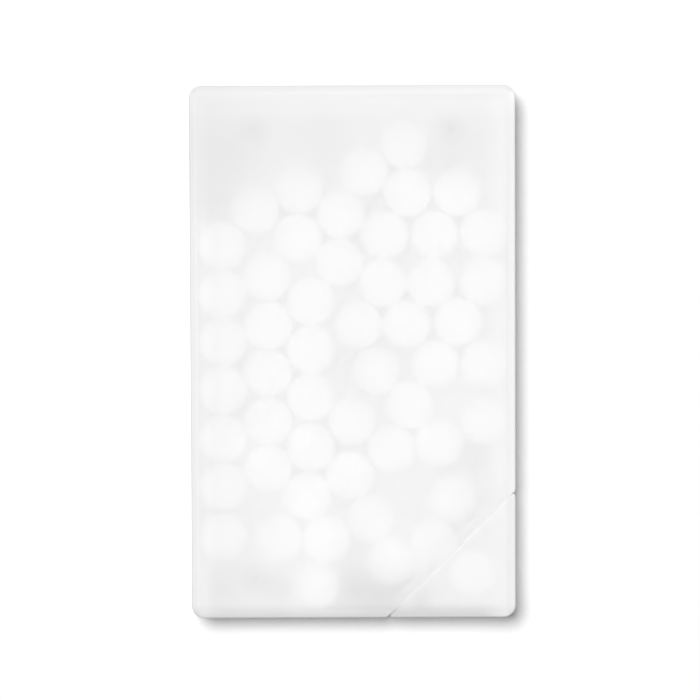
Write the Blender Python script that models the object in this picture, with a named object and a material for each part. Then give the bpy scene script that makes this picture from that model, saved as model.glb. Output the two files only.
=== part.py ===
"""A flat mint card: two shells, a corner flap on a film hinge, and one layer of mints.

Lengths are in metres. The card lies on its back with its front face up: X runs across it,
Y along it and Z through its thickness. The origin is the centre of the back face.
"""

import math
from itertools import combinations, pairwise
from typing import NamedTuple

import bmesh
import bpy
from mathutils import Matrix, Vector

# The card and its walls
CARD_WIDTH = 0.0500
CARD_LENGTH = 0.0820
PLATE = 0.0009
SIDE_WALL = 0.0009
CORNER_RADIUS = 0.0019
EDGE_FILLET = 0.0010

# The mints, the room above them and the least gap between two of them
MINT_DIAMETER = 0.0072
MINT_THICKNESS = 0.0034
HEADROOM = 0.0010
MINT_GAP = 0.0002

# Clearances: between faces that rest on each other, and round what fits in a hole
REST_GAP = 0.0003
FIT_GAP = 0.00015

# The seam between the case and the flap, and the wall behind it
FLAP_LEG = 0.0197
SEAM_GAP = 0.00025
SEAM_BREAK = 0.0001
DIAGONAL_WALL = 0.00125
THUMB_LIP_RADIUS = 0.0010
HINGE_LIP_RADIUS = 0.0017
FLAP_TIP_RADIUS = 0.0005
FLAP_END = 0.0035
MOUTH_PLAY = 0.0021

# The film hinge
FILM_THICKNESS = 0.00032
FILM_RECESS = 0.00015
HINGE_SPAN = 0.0019
HINGE_DROP = 0.00025

# The latch tongue on the flap
LATCH_WIDTH = 0.0020
LATCH_REACH = 0.0007
LATCH_THICKNESS = 0.0014
LATCH_INSET = 0.0024

# The lip that locates the front shell on the back one
LIP_HEIGHT = 0.0006

# The pegs and sockets that join the shells
PEG_RADIUS = 0.00065
SOCKET_WALL = 0.00065
PEG_SIDE_INSET = 0.0099
PEG_TOP_INSET = 0.0067
PEG_BOTTOM_INSET = 0.0061
PEG_FLAP_INSET = 0.0247

# How finely curves are drawn, the smallest corner left, and how far cuts run on
ARC_STEPS = 6
FILLET_STEPS = 3
ROUND_SIDES = 20
MINT_SIDES = 16
SMOOTH_UNDER = math.radians(35)
SHARP = 0.00005
OVERRUN = 0.0005

# Sizes that follow
CARD_DEPTH = PLATE + MINT_THICKNESS + HEADROOM + PLATE
CEILING = CARD_DEPTH - PLATE
PARTING = CARD_DEPTH / 2
HALF_WIDTH = CARD_WIDTH / 2
HALF_LENGTH = CARD_LENGTH / 2
MINT_RADIUS = MINT_DIAMETER / 2
MINT_REACH = MINT_RADIUS + MINT_GAP
MOUTH_WIDTH = MINT_DIAMETER + MOUTH_PLAY
SOCKET_BORE = PEG_RADIUS + FIT_GAP
SOCKET_RADIUS = SOCKET_BORE + SOCKET_WALL
LIP_THICKNESS = (SIDE_WALL - FIT_GAP) / 2

# The seam's own directions: along it to the upper right, and outward to the cut corner
ALONG = Vector((1, 1)).normalized()
OUTWARD = Vector((1, -1)).normalized()
SEAM_LENGTH = FLAP_LEG * math.sqrt(2)
SEAM_MIDDLE = Vector((HALF_WIDTH - FLAP_LEG / 2, FLAP_LEG / 2 - HALF_LENGTH))
SEAM_DISTANCE = SEAM_MIDDLE.dot(OUTWARD)
SEAM_TOP = FLAP_LEG - HALF_LENGTH

HINGE_Y = SEAM_TOP - HINGE_DROP
HINGE_AXIS = Vector((HALF_WIDTH - FILM_RECESS - FILM_THICKNESS / 2, HINGE_Y, 0))

# A mint's outline, as shares of its radius and thickness
MINT_FACE_SHARE = 0.78
MINT_EDGE_SHARE = 0.24

# The mint in the mouth sits this far behind the seam, in mint diameters. The flap's mint sits
# this share of its free run past the seam, and this share of its radius up along it.
MOUTH_MINT_SHARE = 0.43
FLAP_MINT_OUT_SHARE = 0.20
FLAP_MINT_ALONG_SHARE = 0.06

# Where the loose mints lie, as shares of the way from the middle of the tray to where a mint
# touches a side wall (across) or an end wall (along), and how much of the tray they cover
TRAY_MINT_SHARES = (
    (0.400, 0.878), (0.092, 0.763), (0.417, 0.676), (0.796, 0.675), (-0.405, 0.689),
    (-0.734, 0.604), (-0.089, 0.584), (-0.412, 0.482), (-0.990, 0.452), (0.246, 0.497),
    (0.624, 0.497), (0.997, 0.502), (-0.106, 0.382), (-0.650, 0.321), (0.229, 0.291),
    (0.592, 0.291), (0.990, 0.300), (-0.992, 0.247), (-0.318, 0.213), (0.048, 0.118),
    (0.405, 0.118), (0.800, 0.130), (-0.642, 0.113), (-0.984, 0.045), (-0.319, 0.012),
    (0.180, -0.083), (0.628, -0.052), (1.000, -0.052), (-0.643, -0.090), (-0.986, -0.161),
    (-0.321, -0.191), (0.428, -0.225), (-0.007, -0.295), (1.000, -0.294), (-0.645, -0.295),
    (-0.988, -0.368), (-0.313, -0.408), (0.294, -0.416), (0.652, -0.389), (-0.647, -0.495),
    (-0.034, -0.525), (-0.990, -0.573), (-0.346, -0.616), (0.753, -0.632), (0.130, -0.710),
    (-0.991, -0.787), (-0.571, -0.793), (-0.207, -0.798), (0.276, -0.897), (-0.286, -1.000),
)  # fmt: skip
MINT_COVER_SHARE = 0.76
SETTLING_ROUNDS = 400


class Side(NamedTuple):
    """One straight side of a convex plan: its outward normal's angle in degrees, how far it
    lies from the origin, the radius of the corner after it, and whether it is on the seam."""

    angle: float
    distance: float
    corner: float
    on_seam: bool = False


CASE_SIDES = (
    Side(-90, HALF_LENGTH, THUMB_LIP_RADIUS),
    Side(-45, SEAM_DISTANCE - SEAM_GAP / 2, HINGE_LIP_RADIUS, on_seam=True),
    Side(0, HALF_WIDTH, CORNER_RADIUS),
    Side(90, HALF_LENGTH, CORNER_RADIUS),
    Side(180, HALF_WIDTH, CORNER_RADIUS),
)
FLAP_SIDES = (
    Side(-90, HALF_LENGTH, CORNER_RADIUS),
    Side(0, HALF_WIDTH, FLAP_TIP_RADIUS),
    Side(135, -SEAM_DISTANCE - SEAM_GAP / 2, FLAP_TIP_RADIUS, on_seam=True),
)


def meeting_point(angle, distance, next_angle, next_distance):
    """Where two straight sides cross."""
    a, b = math.radians(angle), math.radians(next_angle)
    across = math.sin(b - a)
    return Vector(
        (
            (distance * math.sin(b) - next_distance * math.sin(a)) / across,
            (next_distance * math.cos(a) - distance * math.cos(b)) / across,
        )
    )


def ring(sides, height, inset=0, seam_inset=0):
    """A plan's outline at one height, counter-clockwise, drawn in from each of its sides."""
    insets = [seam_inset if side.on_seam else inset for side in sides]
    points = []
    for here, side in enumerate(sides):
        after = (here + 1) % len(sides)
        turn = (sides[after].angle - side.angle) % 360
        radius = max(side.corner - max(insets[here], insets[after]), SHARP)
        centre = meeting_point(
            side.angle,
            side.distance - insets[here] - radius,
            sides[after].angle,
            sides[after].distance - insets[after] - radius,
        )
        for step in range(ARC_STEPS + 1):
            angle = math.radians(side.angle + turn * step / ARC_STEPS)
            point = centre + radius * Vector((math.cos(angle), math.sin(angle)))
            points.append(Vector((*point, height)))
    return points


def filleted_rings(sides):
    """The rings of a plan's rounded edge, from the face at height zero up to its side."""
    rings = []
    for step in range(FILLET_STEPS + 1):
        turn = math.radians(90 * step / FILLET_STEPS)
        left = 1 - math.sin(turn)
        height = EDGE_FILLET * (1 - math.cos(turn))
        rings.append(ring(sides, height, EDGE_FILLET * left, SEAM_BREAK * left))
    return rings


def turned_over(rings):
    """The same rings as seen from the front face down."""
    return [[Vector((p.x, p.y, CARD_DEPTH - p.z)) for p in points] for points in rings]


def material(name, colour, roughness, alpha=1.0):
    made = bpy.data.materials.new(name)
    made.use_nodes = True
    surface = made.node_tree.nodes["Principled BSDF"]
    surface.inputs["Base Color"].default_value = (*colour, 1)
    surface.inputs["Roughness"].default_value = roughness
    surface.inputs["Metallic"].default_value = 0
    surface.inputs["Alpha"].default_value = alpha
    return made


def add_object(name, mesh, finish=None):
    """Puts a mesh in the scene, with smooth shading on its curves."""
    mesh.shade_smooth()
    mesh.set_sharp_from_angle(angle=SMOOTH_UNDER)
    if finish:
        mesh.materials.append(finish)
    made = bpy.data.objects.new(name, mesh)
    bpy.context.scene.collection.objects.link(made)
    return made


def lofted(name, rings):
    """A closed mesh through rings that all have as many points, with both ends filled."""
    shape = bmesh.new()
    loops = [[shape.verts.new(point) for point in points] for points in rings]
    for low, high in pairwise(loops):
        for here in range(len(low)):
            after = (here + 1) % len(low)
            shape.faces.new((low[here], low[after], high[after], high[here]))
    shape.faces.new(tuple(reversed(loops[0])))
    shape.faces.new(loops[-1])
    bmesh.ops.recalc_face_normals(shape, faces=shape.faces)
    mesh = bpy.data.meshes.new(name)
    shape.to_mesh(mesh)
    shape.free()
    return mesh


def block(name, corners, low, high):
    """An upright prism over corners given in plan."""
    return lofted(name, [[Vector((*corner, z)) for corner in corners] for z in (low, high)])


def seam_point(along, outward):
    """A place in plan, from the seam's middle along it and out towards the cut corner."""
    return SEAM_MIDDLE + along * ALONG + outward * OUTWARD


def seam_block(name, along, width, inner, outer, low, high):
    """A block square to the seam, centred at a distance along it."""
    start, end = along - width / 2, along + width / 2
    corners = [
        seam_point(start, inner),
        seam_point(start, outer),
        seam_point(end, outer),
        seam_point(end, inner),
    ]
    return block(name, corners, low, high)


def columns(name, places, radius, low, high):
    """Round upright bars over all the places, in one mesh."""
    shape = bmesh.new()
    for place in places:
        bmesh.ops.create_cone(
            shape,
            cap_ends=True,
            segments=ROUND_SIDES,
            radius1=radius,
            radius2=radius,
            depth=high - low,
            matrix=Matrix.Translation((*place, (low + high) / 2)),
        )
    mesh = bpy.data.meshes.new(name)
    shape.to_mesh(mesh)
    shape.free()
    return mesh


def tool(name, mesh):
    """A shape that only joins or cuts others."""
    made = add_object(name, mesh)
    made.hide_render = True
    made.display_type = "WIRE"
    return made


def combine(solid, operation, shape):
    step = solid.modifiers.new(shape.name, "BOOLEAN")
    step.operation = operation
    step.solver = "EXACT"
    step.object = shape


def peg_places():
    """Two pegs at the top, one at the lower left, and two that share the cut corner evenly."""
    side = HALF_WIDTH - PEG_SIDE_INSET
    top = HALF_LENGTH - PEG_TOP_INSET
    bottom = PEG_BOTTOM_INSET - HALF_LENGTH
    return (
        Vector((-side, top)),
        Vector((side, top)),
        Vector((-side, bottom)),
        Vector((HALF_WIDTH - PEG_FLAP_INSET, bottom)),
        Vector((HALF_WIDTH - PEG_BOTTOM_INSET, PEG_FLAP_INSET - HALF_LENGTH)),
    )


def mouth_mint_place():
    """Half out of the tray, against the mouth's lower side."""
    return seam_point(MINT_GAP - MOUTH_PLAY / 2, -MOUTH_MINT_SHARE * MINT_DIAMETER)


def flap_mint_place():
    """In the flap's pocket, a little past the seam."""
    nearest = SEAM_GAP / 2 + MINT_REACH
    furthest = SEAM_LENGTH / 2 - (SIDE_WALL + MINT_REACH) * math.sqrt(2)
    out = nearest + FLAP_MINT_OUT_SHARE * (furthest - nearest)
    return seam_point(FLAP_MINT_ALONG_SHARE * MINT_RADIUS, out)


def tray_walls():
    """The tray's inner faces as outward normals, with how far along each a mint may lie."""
    walls = []
    for side in CASE_SIDES:
        angle = math.radians(side.angle)
        wall = DIAGONAL_WALL if side.on_seam else SIDE_WALL
        normal = Vector((math.cos(angle), math.sin(angle)))
        walls.append((normal, side.distance - wall - MINT_REACH))
    return walls


def tray_mint_places():
    """As many of the loose mints as the tray has room for, each moved clear of its neighbours,
    of the walls, of the sockets and of the mint in the mouth."""
    across = HALF_WIDTH - SIDE_WALL - MINT_REACH
    along = HALF_LENGTH - SIDE_WALL - MINT_REACH
    pitch = 2 * MINT_RADIUS + MINT_GAP
    corner = (FLAP_LEG + DIAGONAL_WALL * math.sqrt(2)) ** 2 / 2
    floor = (CARD_WIDTH - 2 * SIDE_WALL) * (CARD_LENGTH - 2 * SIDE_WALL) - corner
    room = min(int(MINT_COVER_SHARE * floor / pitch**2), len(TRAY_MINT_SHARES))
    shares = [TRAY_MINT_SHARES[n * len(TRAY_MINT_SHARES) // room] for n in range(room)]
    places = [Vector((x * across, y * along)) for x, y in shares]
    fixed = [(mouth_mint_place(), pitch)]
    fixed += [(place, SOCKET_RADIUS + MINT_REACH) for place in peg_places()]
    walls = tray_walls()
    for _ in range(SETTLING_ROUNDS):
        for first, second in combinations(places, 2):
            apart = second - first
            short = pitch - apart.length
            if short > 0:
                push = apart.normalized() * short / 2
                first -= push
                second += push
        for place in places:
            for centre, least in fixed:
                apart = place - centre
                if apart.length < least:
                    place += apart.normalized() * (least - apart.length)
            for normal, furthest in walls:
                past = place.dot(normal) - furthest
                if past > 0:
                    place -= normal * past
    return places


def mint_mesh():
    """A round tablet with bevelled edges, standing on its own origin."""
    edge = MINT_EDGE_SHARE * MINT_THICKNESS
    face = MINT_FACE_SHARE * MINT_RADIUS
    profile = (
        (face, 0),
        (MINT_RADIUS, edge),
        (MINT_RADIUS, MINT_THICKNESS - edge),
        (face, MINT_THICKNESS),
    )
    rings = []
    for radius, height in profile:
        turns = [math.tau * n / MINT_SIDES for n in range(MINT_SIDES)]
        rings.append([Vector((radius * math.cos(a), radius * math.sin(a), height)) for a in turns])
    return lofted("mint", rings)


def add_mint(name, mesh, place):
    made = bpy.data.objects.new(name, mesh)
    made.location = (*place, PLATE + REST_GAP)
    bpy.context.scene.collection.objects.link(made)
    return made


def add_mints(finish, flap_axis):
    """The mints of the tray, the one in the mouth, and the one that turns with the flap."""
    mesh = mint_mesh()
    mesh.shade_smooth()
    mesh.set_sharp_from_angle(angle=SMOOTH_UNDER)
    mesh.materials.append(finish)
    for number, place in enumerate(tray_mint_places(), 1):
        add_mint(f"mint_{number:02d}", mesh, place)
    add_mint("mouth_mint", mesh, mouth_mint_place())
    flap_mint = add_mint("flap_mint", mesh, flap_mint_place() - HINGE_AXIS.xy)
    flap_mint.parent = flap_axis


def wall_rings(rim, step, inner_half):
    """The rings of a shell's walls: the rim on their outer half, a step up or down to the level
    of their inner half, which is the lip or its seat, and then the inside down to the plate."""
    rings = [ring(CASE_SIDES, rim)]
    for height in (rim, step):
        rings.append(ring(CASE_SIDES, height, SIDE_WALL - inner_half, DIAGONAL_WALL - inner_half))
    for height in (step, PLATE):
        rings.append(ring(CASE_SIDES, height, SIDE_WALL, DIAGONAL_WALL))
    return rings


def add_tray(finish):
    """The back plate with its half of the walls, and the lip on top of them."""
    rim = PARTING - REST_GAP / 2
    rings = filleted_rings(CASE_SIDES)
    rings += wall_rings(rim, rim + LIP_HEIGHT, LIP_THICKNESS)
    return add_object("back_shell", lofted("back_shell", rings), finish)


def add_cover(finish):
    """The front plate with its half of the walls, cut back inside for the lip."""
    rim = CARD_DEPTH - PARTING - REST_GAP / 2
    rings = filleted_rings(CASE_SIDES)
    rings += wall_rings(rim, rim - LIP_HEIGHT, LIP_THICKNESS + FIT_GAP)
    return add_object("front_shell", lofted("front_shell", turned_over(rings)), finish)


def case_cutters():
    """What is cut from both shells: the mouth, the hinge's window and the latch's seat."""
    mouth = seam_block(
        "mouth_cutter",
        0,
        MOUTH_WIDTH,
        -SEAM_GAP / 2 - DIAGONAL_WALL - OVERRUN,
        OVERRUN,
        PLATE,
        CEILING,
    )
    seat = seam_block(
        "latch_seat_cutter",
        LATCH_INSET - SEAM_LENGTH / 2,
        LATCH_WIDTH + 2 * FIT_GAP,
        SEAM_GAP / 2 - LATCH_REACH - REST_GAP,
        OVERRUN,
        PARTING - LATCH_THICKNESS / 2 - FIT_GAP,
        PARTING + LATCH_THICKNESS / 2 + FIT_GAP,
    )
    return tool("mouth_cutter", mouth), tool("latch_seat_cutter", seat)


def hinge_window_cutter():
    """The opening in the side wall, across the seam, that the film spans."""
    left, right = HALF_WIDTH - SIDE_WALL, HALF_WIDTH + OVERRUN
    low, high = HINGE_Y - HINGE_SPAN / 2, HINGE_Y + HINGE_SPAN / 2
    corners = [(left, low), (right, low), (right, high), (left, high)]
    return tool("hinge_window_cutter", block("hinge_window_cutter", corners, PLATE, CEILING))


def add_back_shell(finish, cutters):
    """The tray: its five sockets take the front shell's pegs."""
    shell = add_tray(finish)
    top = CEILING - REST_GAP
    foot = PLATE - OVERRUN
    bosses = columns("socket_bosses", peg_places(), SOCKET_RADIUS, foot, top)
    bores = columns("socket_bores", peg_places(), SOCKET_BORE, PLATE, top + OVERRUN)
    combine(shell, "UNION", tool("socket_bosses", bosses))
    combine(shell, "DIFFERENCE", tool("socket_bores", bores))
    for cutter in cutters:
        combine(shell, "DIFFERENCE", cutter)
    return shell


def add_front_shell(finish, cutters):
    """The cover, with five pegs that reach down into the sockets."""
    shell = add_cover(finish)
    pegs = columns("pegs", peg_places(), PEG_RADIUS, PLATE + REST_GAP, CEILING + OVERRUN)
    combine(shell, "UNION", tool("joining_pegs", pegs))
    for cutter in cutters:
        combine(shell, "DIFFERENCE", cutter)
    return shell


def flap_pocket():
    """The hollow for one mint, open to the seam and solid at the flap's two sharp ends."""
    reach = SEAM_LENGTH / 2 - FLAP_END
    middle = SEAM_MIDDLE.dot(ALONG)
    sides = (
        Side(-135, reach - middle, SHARP),
        Side(-90, HALF_LENGTH - SIDE_WALL, CORNER_RADIUS - SIDE_WALL),
        Side(0, HALF_WIDTH - SIDE_WALL, SHARP),
        Side(45, reach + middle, SHARP),
        Side(135, OVERRUN - SEAM_DISTANCE, SHARP),
    )
    return lofted("flap_pocket_cutter", [ring(sides, PLATE), ring(sides, CEILING)])


def add_flap(finish, window, axis):
    """The corner that swings out, with its latch tongue at the free end of the seam."""
    bottom = filleted_rings(FLAP_SIDES)
    rings = bottom + turned_over(bottom)[::-1]
    mesh = lofted("corner_flap", rings)
    mesh.transform(Matrix.Translation(-HINGE_AXIS))
    flap = add_object("corner_flap", mesh, finish)
    flap.parent = axis
    tongue = seam_block(
        "latch_tongue",
        LATCH_INSET - SEAM_LENGTH / 2,
        LATCH_WIDTH,
        SEAM_GAP / 2 - LATCH_REACH,
        SEAM_GAP / 2 + OVERRUN,
        PARTING - LATCH_THICKNESS / 2,
        PARTING + LATCH_THICKNESS / 2,
    )
    combine(flap, "DIFFERENCE", tool("flap_pocket_cutter", flap_pocket()))
    combine(flap, "DIFFERENCE", window)
    combine(flap, "UNION", tool("latch_tongue", tongue))
    return flap


def add_hinge_strap(finish):
    """The film between the side walls of the case and the flap, centred on the hinge's axis."""
    half_long = HINGE_SPAN / 2 - FIT_GAP
    half_thick = FILM_THICKNESS / 2
    corners = [
        (-half_thick, -half_long),
        (half_thick, -half_long),
        (half_thick, half_long),
        (-half_thick, half_long),
    ]
    mesh = block("hinge_strap", corners, PLATE + REST_GAP, CEILING - REST_GAP)
    strap = add_object("hinge_strap", mesh, finish)
    strap.location = HINGE_AXIS
    return strap


def main():
    for old in list(bpy.data.objects):
        bpy.data.objects.remove(old, do_unlink=True)
    frosted = material("frosted_case", (0.90, 0.90, 0.90), 0.45, alpha=0.55)
    chalk = material("mint_white", (0.97, 0.97, 0.96), 0.85)

    window = hinge_window_cutter()
    cutters = (*case_cutters(), window)
    add_back_shell(frosted, cutters)
    add_front_shell(frosted, cutters)

    axis = bpy.data.objects.new("flap_axis", None)
    axis.location = HINGE_AXIS
    bpy.context.scene.collection.objects.link(axis)
    add_flap(frosted, window, axis)
    add_hinge_strap(frosted)
    add_mints(chalk, axis)


main()
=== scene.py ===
"""The look of a flat mint card: a frosted case full of small white mints, on a white table.

Lengths are in metres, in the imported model's own frame: the card lies on its back, front face up.
"""

import math

import bmesh
import bpy
from mathutils import Matrix, Vector


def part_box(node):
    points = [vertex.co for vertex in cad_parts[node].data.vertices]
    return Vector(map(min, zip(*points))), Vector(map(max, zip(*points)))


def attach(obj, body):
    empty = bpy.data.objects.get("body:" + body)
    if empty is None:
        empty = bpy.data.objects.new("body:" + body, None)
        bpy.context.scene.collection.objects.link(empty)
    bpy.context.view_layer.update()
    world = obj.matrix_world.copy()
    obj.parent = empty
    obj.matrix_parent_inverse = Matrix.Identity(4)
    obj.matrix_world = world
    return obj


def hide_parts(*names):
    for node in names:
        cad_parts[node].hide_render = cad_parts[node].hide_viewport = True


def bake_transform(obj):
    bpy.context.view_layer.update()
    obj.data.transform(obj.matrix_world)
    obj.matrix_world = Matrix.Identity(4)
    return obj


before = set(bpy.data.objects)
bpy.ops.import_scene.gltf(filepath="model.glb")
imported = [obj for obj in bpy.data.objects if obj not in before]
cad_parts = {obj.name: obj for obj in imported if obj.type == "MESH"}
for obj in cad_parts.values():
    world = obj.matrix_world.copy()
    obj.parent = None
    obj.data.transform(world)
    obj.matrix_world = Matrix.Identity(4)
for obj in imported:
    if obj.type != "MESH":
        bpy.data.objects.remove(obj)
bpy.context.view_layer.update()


# The back shell is the moulded tray that carries everything: a thin plate with its half of the
# side walls, a thicker diagonal wall beside the flap, and five round sockets for the pegs.
# It is frosted polypropylene, and its lip stands inside the front shell's rim.
CARD_WIDTH = 0.0500
CARD_LENGTH = 0.0820
CARD_DEPTH = 0.0062
PLATE = 0.0009
CEILING = CARD_DEPTH - PLATE
SIDE_WALL = 0.0009
DIAGONAL_WALL = 0.00125
CORNER_RADIUS = 0.0019
EDGE_ROUND = 0.00024
BASE_ROUND = 0.00080
BASE_CORNER_EXTRA = 0.0011
HINGE_TIP_RADIUS = 0.0005
SEAM_ROUND = 0.000006
CORNER_STEPS = 8
EDGE_STEPS = 8
SIDE_STEPS = 4

# A plate's flat is drawn this far inside its rounded edge, so that the rounding's shading ends
# there.
FLAT_MARGIN = 0.00018

FLAP_LEG = 0.0197
SEAM_GAP = 0.00001
SEAM_MIDDLE = Vector((CARD_WIDTH - FLAP_LEG, FLAP_LEG - CARD_LENGTH)) / 2
ALONG_SEAM = Vector((1, 1)).normalized()
TO_CORNER = Vector((1, -1)).normalized()
SEAM_LENGTH = FLAP_LEG * math.sqrt(2)
SEAM_DISTANCE = SEAM_MIDDLE.dot(TO_CORNER)

PARTING = CARD_DEPTH / 2
PARTING_GAP = 0.00010
RIM_BREAK = 0.00006
LIP_TOP = 0.0036
LIP_THICKNESS = 0.000375
FOOT_ROUND = 0.0003

PEG_PLACES = (
    Vector((-0.0151, 0.0343)),
    Vector((0.0151, 0.0343)),
    Vector((-0.0151, -0.0349)),
    Vector((0.0003, -0.0349)),
    Vector((0.0189, -0.0163)),
)
SOCKET_RADIUS = 0.00145
SOCKET_BORE = 0.0008
SOCKET_TOP = 0.0050

# A fingernail goes in where the case is cut back beside the seam's lower end.
NOTCH_ALONG_SEAM = 0.0025
NOTCH_ALONG_FOOT = 0.00038
NOTCH_FOOT_RADIUS = 0.0003
NOTCH_SEAM_RADIUS = 0.0010
SEAM_FOOT = SEAM_MIDDLE - ALONG_SEAM * (SEAM_LENGTH / 2)
NOTCH_START = SEAM_FOOT - Vector((NOTCH_ALONG_FOOT, 0))
NOTCH_SIDE = SEAM_FOOT + ALONG_SEAM * NOTCH_ALONG_SEAM - NOTCH_START
NOTCH_FACES = Vector((NOTCH_SIDE.y, -NOTCH_SIDE.x)).normalized()
NOTCH_ANGLE = math.degrees(math.atan2(NOTCH_FACES.y, NOTCH_FACES.x))

# Each straight side of the case: the angle that it faces, how far out it lies, the radius of the
# corner after it, and whether the seam runs along it.
CASE_PLAN = (
    (-90, CARD_LENGTH / 2, NOTCH_FOOT_RADIUS, False),
    (NOTCH_ANGLE, NOTCH_START.dot(NOTCH_FACES), NOTCH_SEAM_RADIUS, True),
    (-45, SEAM_DISTANCE - SEAM_GAP / 2, HINGE_TIP_RADIUS, True),
    (0, CARD_WIDTH / 2, CORNER_RADIUS, False),
    (90, CARD_LENGTH / 2, CORNER_RADIUS, False),
    (180, CARD_WIDTH / 2, CORNER_RADIUS, False),
)
LEAST_RADIUS = 0.00005


def crossing(angle, distance, next_angle, next_distance):
    """Where two straight sides of a plan meet."""
    a, b = math.radians(angle), math.radians(next_angle)
    x = distance * math.sin(b) - next_distance * math.sin(a)
    y = next_distance * math.cos(a) - distance * math.cos(b)
    return Vector((x, y)) / math.sin(b - a)


def outline(shape, plan, height, inset, seam_inset, extra=0.0):
    """A plan's outline at one height, drawn in from its sides: a flat face with round corners. The
    card's own corners can be rounder than in the plan by an extra radius."""
    others = set(shape.faces)
    drawn_in = [seam_inset if on_seam else inset for _, _, _, on_seam in plan]
    corners = []
    for here, (angle, distance, radius, _) in enumerate(plan):
        after = (here + 1) % len(plan)
        next_angle, next_distance = plan[after][:2]
        place = crossing(
            angle, distance - drawn_in[here], next_angle, next_distance - drawn_in[after]
        )
        if radius == CORNER_RADIUS:
            radius += extra
        radius = max(radius - max(drawn_in[here], drawn_in[after]), LEAST_RADIUS)
        turn = math.radians((next_angle - angle) % 360)
        corners.append((shape.verts.new((*place, height)), radius * math.tan(turn / 2)))
    shape.faces.new([vert for vert, _ in corners])
    for vert, slide in corners:
        bmesh.ops.bevel(
            shape,
            geom=[vert],
            offset=slide,
            offset_type="OFFSET",
            segments=CORNER_STEPS,
            profile=0.5,
            affect="VERTICES",
            clamp_overlap=False,
            material=-1,
        )
    return next(face for face in shape.faces if face not in others)


def skin(shape, plan, levels):
    """Walls through a plan's outlines, each a height with its two insets. Gives the last face."""
    faces = [outline(shape, plan, *level) for level in levels]
    loops = [list(face.edges) for face in faces]
    bmesh.ops.delete(shape, geom=faces[1:-1], context="FACES_ONLY")
    for here, (first, second) in enumerate(zip(loops, loops[1:])):
        if levels[here][0] == levels[here + 1][0]:
            bmesh.ops.triangle_fill(shape, use_beauty=True, edges=first + second)
        else:
            bmesh.ops.bridge_loops(shape, edges=first + second)
    return faces[-1]


def rounded_face(round_over, extra=0.0):
    """The levels of a plate's face and its rounded edge, from the flat out to the side wall. The
    seam's own edge is only broken."""
    levels = [(0.0, round_over + FLAT_MARGIN, SEAM_ROUND + FLAT_MARGIN, extra)]
    for step in range(EDGE_STEPS + 1):
        turn = math.radians(90 * step / EDGE_STEPS)
        height = round_over * (1 - math.cos(turn))
        short = max(SEAM_ROUND - height, 0.0)
        seam_inset = SEAM_ROUND - math.sqrt(SEAM_ROUND**2 - short**2)
        levels.append((height, round_over * (1 - math.sin(turn)), seam_inset, extra))
    return levels


def base_levels(top):
    """The levels of a base, from its flat up the side wall: the lower, the rounder its corners."""
    levels = rounded_face(BASE_ROUND, BASE_CORNER_EXTRA)
    for step in range(1, SIDE_STEPS + 1):
        share = step / SIDE_STEPS
        height = BASE_ROUND + share * (top - BASE_ROUND)
        levels.append((height, 0.0, 0.0, BASE_CORNER_EXTRA * (1 - share)))
    return levels


def wall_foot():
    """The levels of the inside corner between the walls and the plate, down to the plate."""
    levels = []
    for turn in (0, 30, 60, 90):
        out = FOOT_ROUND * (1 - math.cos(math.radians(turn)))
        above = FOOT_ROUND * (1 - math.sin(math.radians(turn)))
        levels.append((PLATE + above, SIDE_WALL + out, DIAGONAL_WALL + out))
    margin = FOOT_ROUND + FLAT_MARGIN
    return [*levels, (PLATE, SIDE_WALL + margin, DIAGONAL_WALL + margin)]


ROUND_SIDES = 36


def ring_of(shape, place, radius, height):
    """The edges of one circle round an upright axis."""
    made = bmesh.ops.create_circle(
        shape,
        cap_ends=False,
        segments=ROUND_SIDES,
        radius=radius,
        matrix=Matrix.Translation((*place, height)),
    )
    return list(dict.fromkeys(edge for vert in made["verts"] for edge in vert.link_edges))


def stand_up(shape, place, profile):
    """Walls through circles, each a radius and a height, with the last circle closed. Gives the
    first one's edges."""
    rings = [ring_of(shape, place, radius, height) for radius, height in profile]
    for first, second in zip(rings, rings[1:]):
        bmesh.ops.bridge_loops(shape, edges=first + second)
    bmesh.ops.edgeloop_fill(shape, edges=rings[-1])
    return rings[0]


def plate_with_holes(shape, face, feet):
    """Fills a plate's face again round the feet of what stands on it."""
    edges = list(face.edges)
    for foot in feet:
        edges += foot
    bmesh.ops.delete(shape, geom=[face], context="FACES_ONLY")
    bmesh.ops.triangle_fill(shape, use_beauty=True, use_dissolve=False, edges=edges)


MERGE_DISTANCE = 1e-7
SHARP_ANGLE = 35


def piece_from(shape, name, sharp=SHARP_ANGLE):
    """A finished piece from a mesh under construction, its faces pointing outwards. Its edges are
    shaded smoothly, up to a sharp angle in degrees."""
    bmesh.ops.remove_doubles(shape, verts=shape.verts, dist=MERGE_DISTANCE)
    bmesh.ops.recalc_face_normals(shape, faces=shape.faces)
    mesh = bpy.data.meshes.new(name)
    shape.to_mesh(mesh)
    shape.free()
    mesh.shade_smooth()
    mesh.set_sharp_from_angle(angle=math.radians(sharp))
    made = bpy.data.objects.new(name, mesh)
    bpy.context.scene.collection.objects.link(made)
    return made


def seam_place(along, outward):
    """A place in plan, from the seam's middle along it and out towards the cut corner."""
    return SEAM_MIDDLE + along * ALONG_SEAM + outward * TO_CORNER


BLOCK_STEPS = 4

# The least rise of an edge that goes up, and the least fold, in radians, of one that is rounded.
LEVEL = 1e-6
FOLD = 1


def goes_up(edge):
    """Whether an edge leaves the level that it starts at."""
    first, second = edge.verts
    return abs(first.co.z - second.co.z) > LEVEL


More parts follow.
